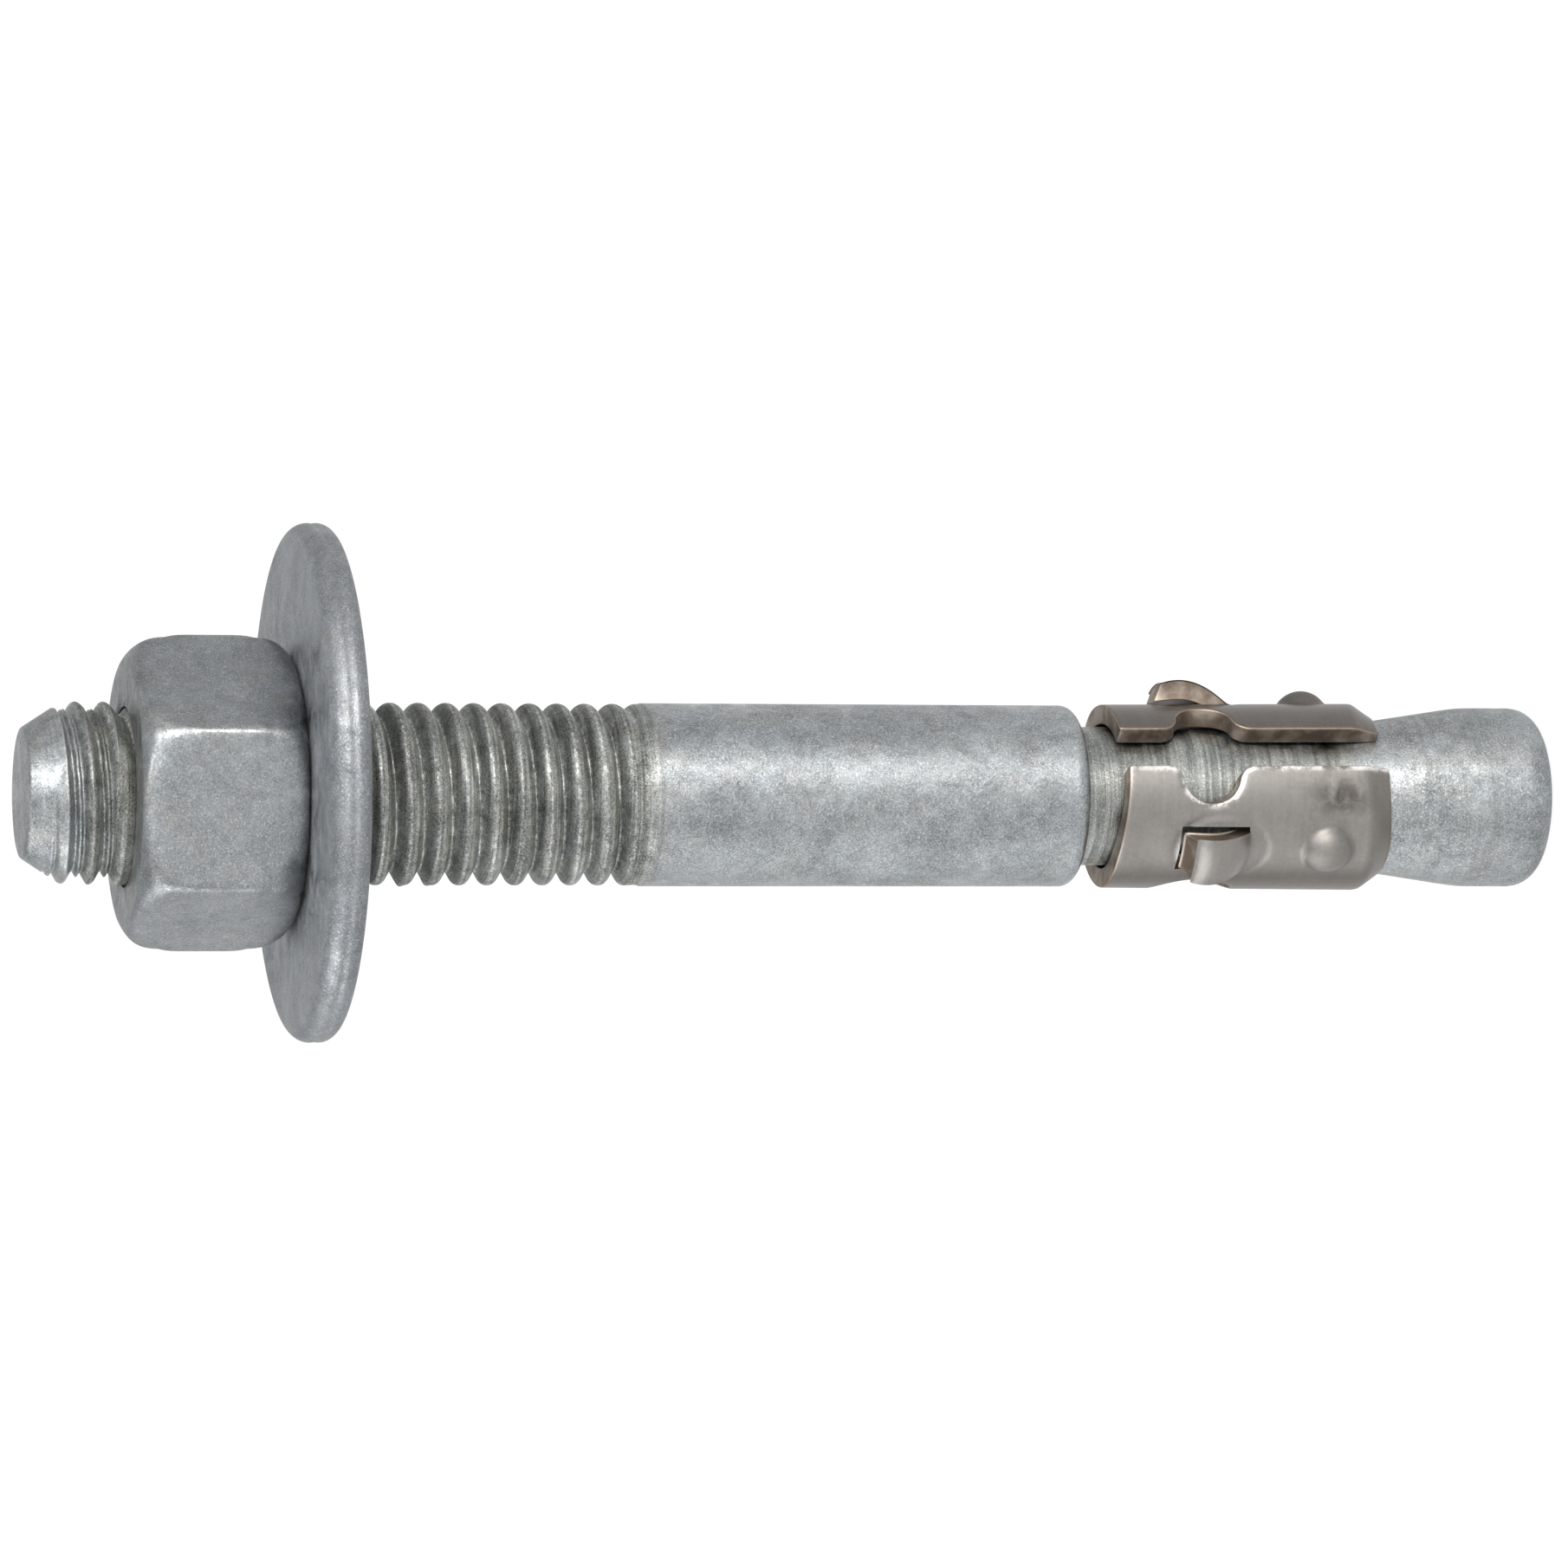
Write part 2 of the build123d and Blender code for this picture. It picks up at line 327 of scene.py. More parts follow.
def threaded_radius():
    """The rings with the thread sunk into them, fading out where the tip is chamfered."""
    groove = thread_crest_radius - thread_drop(stretched_z, stud_angles) * thread_share
    room_for_nut = thread_crest_radius - thread_drop(outline_z, stud_angles) * thread_share + lead_in_room
    groove = soft_min(groove, room_for_nut, lead_in_blend)
    chamfer_share = smoothstep(0.6, 1.6, thread_crest_radius - outline_r) * (outline_z > lead_in_height)
    sunk = np.minimum(outline_r, groove) - outline_r
    radius = outline_r + sunk * (thread_share > 0) * (1 - chamfer_share)
    for burr_height, burr_angle in burrs:
        away = ((outline_z - burr_height) / burr_half_height) ** 2
        away = away + ((stud_angles - burr_angle) / burr_half_angle) ** 2
        radius = radius + burr_rise * np.exp(-away)
    return radius


def stud_marks():
    """Shares from 0 to 1 that the material reads: where the stud is threaded, worn, turned and pressed."""
    side = crest_distance(stretched_z, stud_angles)
    threaded = smoothstep(thread_bottom - 0.7, thread_bottom + 0.9, outline_z)
    threaded = threaded * (1 - 0.85 * smoothstep(tip_height - 4.35, tip_height - 2.95, outline_z))
    neck = smoothstep(shoulder_bottom + 0.04, shoulder_bottom - 0.01, outline_z)
    neck = smoothstep(13.5, 16, outline_z) * neck
    run_out = 0.8 * np.exp(-((outline_z - thread_bottom - 0.3) / 0.9) ** 2)
    cone = 0.22 * smoothstep(13, 9, outline_z) * smoothstep(3, 5, outline_z)
    return {"threaded": threaded, "turned": neck + run_out + cone, "formed": smoothstep(15, 10, outline_z),
            "crest": np.exp(-((side + 0.06) / 0.09) ** 2) * thread_share,
            # The root mark places a painted highlight along the roots.
            "root": np.exp(-((pitch / 2 - np.abs(side)) / 0.2) ** 2) * thread_share,
            # The flank mark places painted light on the side of each turn that faces the cone end and the key
            # light.
            "flank": smoothstep(0.12, 0.42, side) * smoothstep(pitch / 2, 0.85, side) * thread_share}


# %% Stud skin
stud = ring_mesh("stud_skin", threaded_radius(), outline_z, stud_angles, closed_loop=False,
                 marks=stud_marks())

# %% [markdown]
# ## The nut
#
# A forged hexagon is crowned at both ends by a round chamfer, so its corners end in curved arcs and only a
# round face bears on the washer. A Boolean of a hexagon and a spun blank would leave razor edges. Here the
# radius is the softened minimum of the two forms, and the softness is the broken edge that forging and zinc
# leave. Inside, the bore takes the stud's thread with a little room to turn.

# %% Nut sizes
nut_across_flats = 19.05
nut_face_radius = 9.15
nut_crown_radius = 3.0
nut_corner_angle = 53.3
nut_corner_sharpness = 110
nut_edge_break = 0.28
nut_wear_and_highlight_width = 0.22
highlight_corner_angle = -66.7
nut_thread_room = 0.2
nut_minor_radius = 5.4
nut_countersink_radius = 6.0
nut_face_rings = (8.7, 8.2, 7.6, 7.2)
nut_columns = 264
print("nut", round(2 * nut_across_flats / math.sqrt(3), 2), "across its sharp corners")


# %% Nut skin
def hexagon_radius(angles):
    """Distance from the axis to a hexagon with slightly rounded corners."""
    apothem = nut_across_flats / 2
    flats = math.radians(nut_corner_angle + 30) + np.arange(6) * math.pi / 3
    reach = np.clip(np.cos(angles[..., None] - flats), 0, None)
    return apothem / np.sum(reach ** nut_corner_sharpness, axis=-1) ** (1 / nut_corner_sharpness)


def crown_radius(depth):
    """The round crown's radius at a depth below an end face."""
    corner = nut_across_flats / math.sqrt(3)
    centre = corner - nut_crown_radius
    rise = math.sqrt(nut_crown_radius ** 2 - (nut_face_radius - centre) ** 2)
    across = np.clip(rise - depth, 0, nut_crown_radius)
    beyond = np.clip(depth - rise, 0, None)
    return centre + np.sqrt(nut_crown_radius ** 2 - across ** 2) + beyond


def make_nut():
    angles = np.radians(nut_corner_angle) + np.linspace(0, 2 * math.pi, nut_columns, endpoint=False)
    angles = angles[None, :]
    near_end = np.array([0.0, 0.03, 0.08, 0.15, 0.25, 0.4, 0.55, 0.7, 0.9, 1.1, 1.3, 1.5, 1.7, 1.9, 2.1, 2.3])
    middle = np.linspace(2.6, nut_top - nut_bottom - 2.6, 14)
    side = np.concatenate([nut_bottom + near_end, nut_bottom + middle, nut_top - near_end[::-1]])[:, None]
    depth = np.minimum(side - nut_bottom, nut_top - side)
    hexagon, crown = hexagon_radius(angles), crown_radius(depth)
    outside = soft_min(hexagon, crown, nut_edge_break)
    turn = (angles - math.radians(nut_corner_angle)) % (math.pi / 3)
    from_corner = np.minimum(turn, math.pi / 3 - turn) * nut_across_flats / 2
    corner_wear = np.exp(-(from_corner / nut_wear_and_highlight_width) ** 2) + 0 * depth
    crown_wear = np.exp(-((hexagon - crown) / nut_wear_and_highlight_width) ** 2) * smoothstep(2.4, 1.6, depth)
    # Wear and painted highlight: strongest on the corner that faces the key light.
    rubbed = np.cos(angles - math.radians(highlight_corner_angle))
    wear_and_highlight = np.clip(corner_wear + 0.7 * crown_wear, 0, 1) * (0.08 + 0.92 * smoothstep(0.75, 0.97, rubbed))

    face_rings = np.array(nut_face_rings)[:, None] + 0 * angles
    bore = np.arange(nut_top, nut_bottom, -pitch / rings_per_turn)[:, None]
    bore_depth = np.minimum(bore - nut_bottom, nut_top - bore)
    groove = np.maximum(nut_minor_radius, thread_crest_radius - thread_drop(bore, angles) + nut_thread_room)
    inside = soft_max(groove, nut_countersink_radius - bore_depth, 0.05)

    radius = np.vstack([outside, face_rings, inside, face_rings[::-1]])
    height = np.vstack([side, np.full((4, 1), nut_top), bore, np.full((4, 1), nut_bottom)])
    plain = np.zeros((len(radius) - len(side), nut_columns))
    return ring_mesh("nut_skin", radius, height, angles, closed_loop=True,
                     marks={"wear_and_highlight": np.vstack([wear_and_highlight, plain])})


nut = make_nut()

# %% [markdown]
# ## The washer
#
# Punched from plate, then tumbled and dipped in zinc, a washer has no sharp edge left. Its outline is a
# flat ring with well rounded corners. It hangs on the thread by the top of its hole, so its centre lies to
# one side, and it leans against the nut by a fraction of a degree, as the real one does. Its radius is a
# hundredth of a millimetre short, so that the lean doesn't carry it past the CAD solid.

# %% Washer
washer_die_roll = 1.2
washer_edge_round = 1.0
washer_edge_groove = 0.035
washer_hole_round = 0.45
washer_hole_radius = 7.145
washer_lean = 0.5
washer_drop = 0.06
washer_face_rings = (15.5, 13, 10.5)
washer_wear_and_highlight_lines = (-0.22, 0.36)
washer_columns = 192


def make_washer():
    middle = (washer_top + washer_bottom) / 2
    half = (washer_top - washer_bottom) / 2
    lip = washer_hole_radius + washer_hole_round
    low, high = middle - half + washer_edge_round, middle + half - washer_die_roll
    outline = arc(washer_radius - washer_edge_round, low, washer_edge_round, -90, 0, 12)
    outline += [(washer_radius - washer_edge_groove * deep, low + (high - low) * up) for up, deep in
                [(0.25, 0.6), (0.5, 1.0), (0.75, 0.6)]]
    outline += arc(washer_radius - washer_die_roll, high, washer_die_roll, 0, 90, 12)
    outline += [(r, middle + half) for r in washer_face_rings]
    outline += arc(lip, middle + half - washer_hole_round, washer_hole_round, 90, 180, 6)
    outline += arc(lip, middle - half + washer_hole_round, washer_hole_round, 180, 270, 6)
    outline += [(r, middle - half) for r in reversed(washer_face_rings)]
    angles = np.linspace(0, 2 * math.pi, washer_columns, endpoint=False)[None, :]
    radius = np.array([r for r, _ in outline])[:, None] + 0 * angles
    height = np.array([z for _, z in outline])[:, None]
    up = (height - middle) / half
    # Two bright lines round the rim, worn zinc and a painted highlight where the rim's highlights fall.
    lines = sum(np.exp(-((up - place) / 0.1) ** 2) for place in washer_wear_and_highlight_lines)
    marks = {"wear_and_highlight": lines * (radius > washer_radius - 0.3),
             "rim": smoothstep(washer_radius - 0.9, washer_radius - 0.4, radius)}
    piece = ring_mesh("washer_skin", radius, height, angles, closed_loop=True, centre=(washer_offset, 0),
                      marks=marks)
    pivot = Vector((washer_offset, 0, middle)) * MM
    lean = Matrix.Translation(pivot) @ Matrix.Rotation(-math.radians(washer_lean), 4, "Y")
    seat = Matrix.Translation((0, 0, -washer_drop * MM))
    piece.data.transform(seat @ lean @ Matrix.Translation(-pivot))
    return piece


washer = make_washer()

# %% [markdown]
# ## The expansion clip, stamped flat and then rolled
#
# A press makes the real clip from strip: it punches the holes, shears a tongue on three sides, pushes up a
# dimple, and rolls the blank round the stud's neck. The mesh is made in the same order. Booleans on a
# curved shell would leave long slivers that spoil a bright surface, so the blank is first drawn flat as an
# outline with holes, then filled with even triangles, given a thickness with rounded edges, and only then
# bent: every point of the flat strip has one place on the rolled clip.

# %% Clip sizes
clip_thickness = 1.38
clip_bore_radius = 5.05
clip_flare = 0.16
clip_bevel_length = 1.42
clip_lip = 0.14
clip_seat_room = 0.05
clip_split_angle = -56.5
clip_split_width = 27
clip_segments = 3
clip_edge_round = 0.13
strip_corner = 0.2
window_corner = 0.13
roll_radius = 6.5
hole_radius = 3.0
notch_radius = 2.05
notch_depth = 2.75
notch_blend = 1.2
notch_height = 13.5
far_notch_height = 13.15
far_side_rise = 0.27
tongue_root = 10.6
tongue_lengths = (4.75, 4.75, 4.15)
window_ends = (16.4, 16.4, 15.75)
tongue_slant = 0.6
tongue_width = 2.8
tongue_rise = 1.72
tongue_slot = 0.6
tongue_peak = 0.74
dimple_height = 4.85
dimple_radius = 1.8
dimple_rise = 1.05
end_inset = 0.5
lip_drop = 0.08
press_half_width = 2.75
press_half_height = 3.3
press_depth = 0.07
lip_width = 0.5
lip_waves = ((0.35, 2.1, 1), (0.25, 5.3, 0), (0.2, 11, 2))
smudge_place = (35.6, 4.1)
# The strip's lit front, where its painted shade is least.
lit_front_place = 34.9
mesh_step = 0.26

clip_length = clip_top - clip_bottom
strip_width = roll_radius * math.radians(360 - clip_split_width)
segment_width = strip_width / clip_segments
print("blank", round(strip_width, 2), "by", round(clip_length, 2), "in segments of", round(segment_width, 2))

# %% [markdown]
# ## The blank's outer edge
#
# The die cuts the strip through the middle of a round hole, so each short side has half a hole, whose lips
# are rounded. The edge is drawn as arcs and straight runs, with points about a quarter of a millimetre
# apart or closer, because the triangles that fill the blank start from them.

# %% Outer edge of the blank
def turn_points(centre, size, start, end, step=0.14):
    """Points along an arc, angles in degrees."""
    return arc(*centre, size, start, end, max(4, round(abs(math.radians(end - start)) * size / step)))


def line_points(start, end, step=mesh_step):
    """Points along a straight edge, both ends left out."""
    length = math.dist(start, end)
    count = max(2, round(length / step))
    share = np.linspace(0, 1, count + 1)[1:-1]
    return [(start[0] + (end[0] - start[0]) * s, start[1] + (end[1] - start[1]) * s) for s in share]


def notched_edge(side, centre):
    """A round notch with blended lips, up the strip's right edge. Side -1 gives its mirror image."""
    sunk = notch_depth - notch_radius
    reach = math.sqrt((notch_radius + notch_blend) ** 2 - (notch_blend - sunk) ** 2)
    swing = math.degrees(math.atan2(reach, notch_blend - sunk))
    lower = turn_points((-notch_blend, -reach), notch_blend, 0, swing)
    bowl = turn_points((-sunk, 0), notch_radius, 180 + swing, 180 - swing)
    upper = [(u, -v) for u, v in reversed(lower)]
    return [(side * u, v + centre) for u, v in lower + bowl[1:-1] + upper]


def strip_outline():
    """The blank's outer edge, counter-clockwise, with half a hole in each short side."""
    right = [(strip_width + u, v) for u, v in notched_edge(1, notch_height)]
    left = [(u, v) for u, v in reversed(notched_edge(-1, far_notch_height))]
    far, top = strip_width - strip_corner, clip_length - strip_corner
    outline = [(strip_corner, 0)] + line_points((strip_corner, 0), (far, 0))
    outline += turn_points((far, strip_corner), strip_corner, -90, 0)
    outline += line_points((strip_width, strip_corner), right[0]) + right
    outline += line_points(right[-1], (strip_width, top))
    outline += turn_points((far, top), strip_corner, 0, 90)
    outline += line_points((far, clip_length), (strip_corner, clip_length))
    outline += turn_points((strip_corner, top), strip_corner, 90, 180)
    outline += line_points((0, top), left[0]) + left
    outline += line_points(left[-1], (0, strip_corner))
    outline += turn_points((strip_corner, strip_corner), strip_corner, 180, 270)[:-1]
    return outline


print("a short side's notch is drawn with", len(notched_edge(1, notch_height)), "points")

# %% [markdown]
# ## The windows round the tongues
#
# A tongue is sheared on three sides, so its window is a narrow U, and the metal between the U's two legs is
# the tongue. The U's corners are broken a little, which keeps the rounded edge from folding over itself.

# %% Windows round the tongues
def rounded_outline(corners, size):
    """A closed outline through corners, each rounded by the same small arc."""
    points = []
    for before, corner, after in zip(corners[-1:] + corners[:-1], corners, corners[1:] + corners[:1]):
        p, a, b = Vector(corner), Vector(before), Vector(after)
        into, out = (a - p).normalized(), (b - p).normalized()
        start, end = p + into * size, p + out * size
        points.append([tuple(start), tuple(start.lerp(p, 0.6).lerp(p.lerp(end, 0.4), 0.5)), tuple(end)])
    outline = []
    for here, following in zip(points, points[1:] + points[:1]):
        outline += here + line_points(here[-1], following[0])
    return outline


def slot_outline(middle, tongue_length, window_end):
    """The slot sheared round a tongue: a U, open at the tongue's root."""
    inner, outer = tongue_width / 2, tongue_width / 2 + tongue_slot
    top = tongue_root + tongue_length
    corners = [(-outer, tongue_root), (-inner, tongue_root), (-inner, top), (inner, top),
               (inner, tongue_root), (outer, tongue_root), (outer, window_end), (-outer, window_end)]
    return rounded_outline([(middle + u, v) for u, v in corners], window_corner)


# %% All openings of the blank
segment_middles = [segment_width * (n + 0.5) for n in range(clip_segments)]
web_holes = [turn_points((segment_width * n, notch_height), hole_radius, 360, 0)[:-1]
             for n in range(1, clip_segments)]
tongues = list(zip(segment_middles, tongue_lengths, window_ends))
outlines = [strip_outline()] + web_holes + [slot_outline(*tongue) for tongue in tongues]
print("the blank has", len(outlines) - 1, "openings")

# %% [markdown]
# ## Filling the blank
#
# Blender's own triangle fill makes fans of slivers, which crease when they are bent. Here rows of points are
# laid inside the metal and joined by a Delaunay fill that keeps the outlines, so the triangles are all about
# the same size and the bent strip shades evenly.

# %% Filling the blank
def inward(outline, size):
    """The outline moved into the metal, for the start of a rounded edge."""
    points = np.array(outline)
    forward = np.roll(points, -1, axis=0) - points
    forward /= np.linalg.norm(forward, axis=1)[:, None]
    tangent = forward + np.roll(forward, 1, axis=0)
    tangent /= np.linalg.norm(tangent, axis=1)[:, None]
    normal = np.stack([-tangent[:, 1], tangent[:, 0]], axis=1)
    cosine = np.clip(np.sum(normal * np.stack([-forward[:, 1], forward[:, 0]], axis=1), axis=1), 0.5, 1)
    return points + normal * (size / cosine)[:, None]


def inside_metal(points, edges):
    """Which points lie in the metal: a ray to the right crosses an odd number of edges."""
    inside = np.zeros(len(points), bool)
    for outline in edges:
        a, b = outline, np.roll(outline, -1, axis=0)
        for (ax, ay), (bx, by) in zip(a, b):
            if ay == by:
                continue
            crosses = (points[:, 1] < ay) != (points[:, 1] < by)
            at = ax + (points[:, 1] - ay) * (bx - ax) / (by - ay)
            inside ^= crosses & (points[:, 0] < at)
    return inside


def nearest(points, others):
    """Distance from each point to the nearest of the others."""
    gap = np.full(len(points), np.inf)
    for other in others:
        gap = np.minimum(gap, np.hypot(points[:, 0] - other[0], points[:, 1] - other[1]))
    return gap


def fill_blank(edges):
    """Even triangles inside the outlines. Returns the points, those of the edges first, and the triangles."""
    rim = np.vstack(edges)
    rows = np.arange(mesh_step, clip_length, mesh_step * 0.87)
    grid = [(u + (n % 2) * mesh_step / 2, v) for n, v in enumerate(rows)
            for u in np.arange(mesh_step, strip_width, mesh_step)]
    grid = np.array(grid)
    near = np.vstack([inward(outlines[0], size)[::2] for size in (0.27, 0.44)])
    fixed = np.vstack([rim, near])
    grid = grid[inside_metal(grid, edges) & (nearest(grid, fixed) > mesh_step * 0.6)]
    near = near[inside_metal(near, edges) & (nearest(near, rim) > 0.1)]
    points = np.vstack([rim, near, grid])
    links, first = [], 0
    for outline in edges:
        count = len(outline)
        links += [(first + n, first + (n + 1) % count) for n in range(count)]
        first += count
    made = delaunay_2d_cdt([Vector(p) for p in points], links, [], 0, 1e-7)
    points = np.array([tuple(p) for p in made[0]])
    triangles = np.array(made[2])
    middle = points[triangles].mean(axis=1)
    return points, triangles[inside_metal(middle, edges)]


inner_edges = [inward(outline, clip_edge_round) for outline in outlines]
blank_points, blank_triangles = fill_blank(inner_edges)
print("blank filled with", len(blank_triangles), "triangles")


# %% [markdown]
# ## What the press pushes out
#
# Four small functions say how far a tongue, a dimple, the die's mark and the rolled-over lip move a point
# out or in. The bending is one function that uses them all. It takes a point's place along the strip, its
# height, and how deep it lies in the thickness, from 0 at the outside to 1 at the bore. So the skin stays
# one piece of metal from face to edge.

# %% Tongue, dimple and press mark
def tongue_lift(across, height, tongue_length, window_end):
    """How far a tongue is bent outwards at a point of the strip, and nothing beside it."""
    bow = 0.25 * np.clip(1 - (across / 1.4) ** 2, 0, 1)
    share = np.clip(soft_max((height - tongue_root + bow) / tongue_length, 0, 0.03), 0, 1)
    climb = 1 - (1 - np.clip(share / tongue_peak, 0, 1)) ** 2
    droop = np.clip((share - tongue_peak) / (1 - tongue_peak), 0, 1) ** 2 * 0.2
    lift = tongue_rise * climb - droop
    free_end = (tongue_root + tongue_length + window_end) / 2
    on_tongue = np.abs(across) < (tongue_width + tongue_slot) / 2
    on_tongue = on_tongue & (height > tongue_root) & (height < free_end)
    beside = smoothstep(2.1, 1.2, np.abs(across)) * (height <= tongue_root)
    return lift * np.where(on_tongue, 1, beside)


def dimple_lift(distance, depth):
    """The dimple's height above the strip: a ball-shaped boss outside, and a narrower hollow inside."""
    radius = dimple_radius - 0.55 * depth
    ball = (radius ** 2 + dimple_rise ** 2) / (2 * dimple_rise)
    cap = np.sqrt(np.clip(ball ** 2 - distance ** 2, 0, None)) - (ball - dimple_rise)
    return soft_max(cap, 0, 0.035)


def press_mark(across, height, tongue_length):
    """A faint groove round each window, where the die held the strip."""
    ring = np.hypot(across / press_half_width, (height - tongue_root - tongue_length / 2) / press_half_height)
    return -press_depth * np.exp(-((ring - 1) / 0.08) ** 2)


near_lip = np.array([(strip_width, v) for v in np.arange(0, notch_height - 3.5, 0.2)]
                    + [(strip_width + u, v) for u, v in notched_edge(1, notch_height)]
                    + [(strip_width, v) for v in np.arange(notch_height + 3.5, clip_length, 0.2)])


def lip_fall(points):
    """How far the sheared edge beside the split is rolled over, more in some places than others."""
    height = points[:, 1]
    waves = 0.8 + sum(size * np.sin(rate * height + start) for size, rate, start in lip_waves)
    beside = points[:, 0] > strip_width - 4.5
    gap = np.full(len(points), 9.0)
    gap[beside] = nearest(points[beside], near_lip)
    return gap, lip_drop * waves * np.clip(1 - gap / lip_width, 0, 1) ** 2


along_tongue = np.linspace(tongue_root, window_ends[0], 50)
tongue_profile = tongue_lift(np.zeros(50), along_tongue, tongue_lengths[0], window_ends[0])
print("a tongue stands out", round(float(tongue_profile.max()), 2), "and a dimple", dimple_rise)


# %% Bending the blank
def roll(points, depth):
    """Points of the flat strip at a depth, from 0 to 1, bent into the clip's place round the neck."""
    along, height = points[:, 0], points[:, 1]
    from_split = np.degrees(np.minimum(along, strip_width - along) / roll_radius)
    inset = end_inset * (1 - smoothstep(0, 70, from_split))
    world_height = clip_bottom + height + inset * (1 - smoothstep(0, 5, height))
    world_height = world_height - inset * smoothstep(clip_length - 5, clip_length, height)
    world_height = world_height + far_side_rise * (1 - smoothstep(0, 12, along))
    bore = clip_bore_radius + clip_flare * (1 - height / clip_length)
    inner = soft_max(bore, cone_radius(world_height) + clip_seat_room, 0.03)
    outer = bore + clip_thickness
    blunt = 1 - smoothstep(0, 45, from_split)
    lip = cone_radius(clip_bottom) + clip_seat_room + clip_lip + 0.4 * blunt
    bevel = lip + (outer - lip) * height / (clip_bevel_length + 0.5 * blunt)
    outer = soft_min(outer, bevel, 0.05)
    radius = outer * (1 - depth) + inner * depth
    for middle, tongue_length, window_end in tongues:
        across = along - middle
        lift = tongue_lift(across, height, tongue_length, window_end)
        radius = radius + lift + press_mark(across, height, tongue_length) * (1 - depth)
        near_end = smoothstep(tongue_root + 0.8 * tongue_length, tongue_root + tongue_length, height)
        world_height = world_height + tongue_slant * depth * near_end * (lift > 0.5)
        radius = radius + dimple_lift(np.hypot(across, height - dimple_height), depth)
    radius = radius - lip_fall(points)[1] * (1 - depth)
    angle = math.radians(clip_split_angle + clip_split_width / 2) + along / roll_radius
    return np.stack([radius * np.cos(angle), radius * np.sin(angle), world_height], axis=1)


# %% [markdown]
# ## Both faces and the edge between them
#
# A Solidify modifier gives square edges. A press leaves them slightly round, and on bright metal that round
# edge is the line one sees. So the outer and the inner face are the same triangles at two depths, and a few
# rows of quads turn the corner between them.

# %% Clip skin
def clip_marks(flats, rim):
    """Shares that the material reads, from each point's place on the flat strip."""
    along, height = flats[:, 0], flats[:, 1]
    smudge = np.exp(-((along - smudge_place[0]) / 1.5) ** 2 - ((height - smudge_place[1]) / 2.1) ** 2)
    # Painted shade: the strip darkens as it turns away from its lit front, on its top, back and underside.
    turn = (along - lit_front_place) / roll_radius
    turn = np.abs((turn + math.pi) % (2 * math.pi) - math.pi)
    to_dimples = [np.hypot(along - middle, height - dimple_height) for middle in segment_middles]
    from_dimple = np.min(to_dimples, axis=0)
    # The lip mark places a painted highlight along the sheared edge beside the split.
    return {"rim": rim, "lip": np.exp(-(lip_fall(flats)[0] / 0.36) ** 4) * (1 - rim), "smudge": smudge,
            "painted_shade_off_front": smoothstep(0.6, 1.0, turn), "facet": smoothstep(2.1, 1.7, height),
            "dimple": np.exp(-(from_dimple / dimple_radius) ** 4),
            # Painted shade in a ring round the foot of each dimple.
            "ring": np.exp(-((from_dimple - dimple_radius - 0.02) / 0.2) ** 2)}


def make_clip():
    """Both faces of the strip and the rounded edges between them, as one closed skin."""
    count = len(blank_points)
    points = [roll(blank_points, np.zeros(count)), roll(blank_points, np.ones(count))]
    flats = [blank_points, blank_points]
    rim = [np.zeros(2 * count)]
    faces = blank_triangles.tolist() + (blank_triangles[:, ::-1] + count).tolist()

    turns = np.radians([30, 60, 90])
    round_share = clip_edge_round / clip_thickness
    steps = [(1 - math.sin(a), round_share * (1 - math.cos(a))) for a in turns]
    steps += [(inset, 1 - depth) for inset, depth in reversed(steps)]
    first, made = 0, 2 * count
    for outline in outlines:
        size = len(outline)
        loops = [np.arange(first, first + size)]
        for inset, depth in steps:
            flat = inward(outline, clip_edge_round * inset)
            points.append(roll(flat, np.full(size, depth)))
            flats.append(flat)
            rim.append(np.full(size, smoothstep(0.0, 0.06, min(depth, 1 - depth))))
            loops.append(np.arange(made, made + size))
            made += size
        loops.append(np.arange(first, first + size) + count)
        for upper, lower in zip(loops, loops[1:]):
            quads = np.stack([upper, lower, np.roll(lower, -1), np.roll(upper, -1)], axis=1)
            faces += quads.tolist()
        first += size
    marks = clip_marks(np.vstack(flats), np.concatenate(rim))
    return make_piece("clip_skin", np.vstack(points), faces, marks)


clip = make_clip()

# %% [markdown]
# ## Seating the pieces
#
# Each skin rides on the body of its CAD solid and stands in for that solid. When the nut turns or the clip
# slides, the skin goes with it, and nothing is placed by eye.

# %% Seating the pieces on their bodies
for piece, body, node, slot in ((stud, "stud", "stud", "zinc_stud"), (nut, "nut", "hex_nut", "zinc_nut"),
                                (washer, "washer", "washer", "zinc_washer"),
                                (clip, "clip", "expansion_clip", "stainless_clip")):
    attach(piece, body)
    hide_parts(node)
    print(piece.name, "rides on", body, "with the finish", slot)

# %% [markdown]
# ## A short way to write shaders
#
# The finishes below are all procedural: noise in the object's own coordinates, so they stay on the metal
# when a piece moves, and need no picture. A few small helpers keep them readable. Each makes a node or two,
# wires the inputs and gives back what comes out.

# %% Shader helpers
def add(tree, kind, inputs, **settings):
    """One shader node. An input is wired if it is a socket, and set if it is a plain value."""
    node = tree.nodes.new("ShaderNode" + kind)
    for name, value in settings.items():
        setattr(node, name, value)
    for name, value in inputs.items():
        if isinstance(value, bpy.types.NodeSocket):
            tree.links.new(value, node.inputs[name])
        else:
            node.inputs[name].default_value = value
    return node


def sums(tree, operation, first, second, third=0.0):
    """The result of one arithmetic node."""
    return add(tree, "Math", {0: first, 1: second, 2: third}, operation=operation).outputs[0]


def scaled(tree, vector, factor):
    """A colour or a place times one number."""
    return add(tree, "VectorMath", {0: vector, 3: factor}, operation="SCALE").outputs[0]


def blend(tree, share, first, second):
    """One colour turned into another by a share."""
    return add(tree, "Mix", {0: share, 6: first, 7: second}, data_type="RGBA").outputs[2]


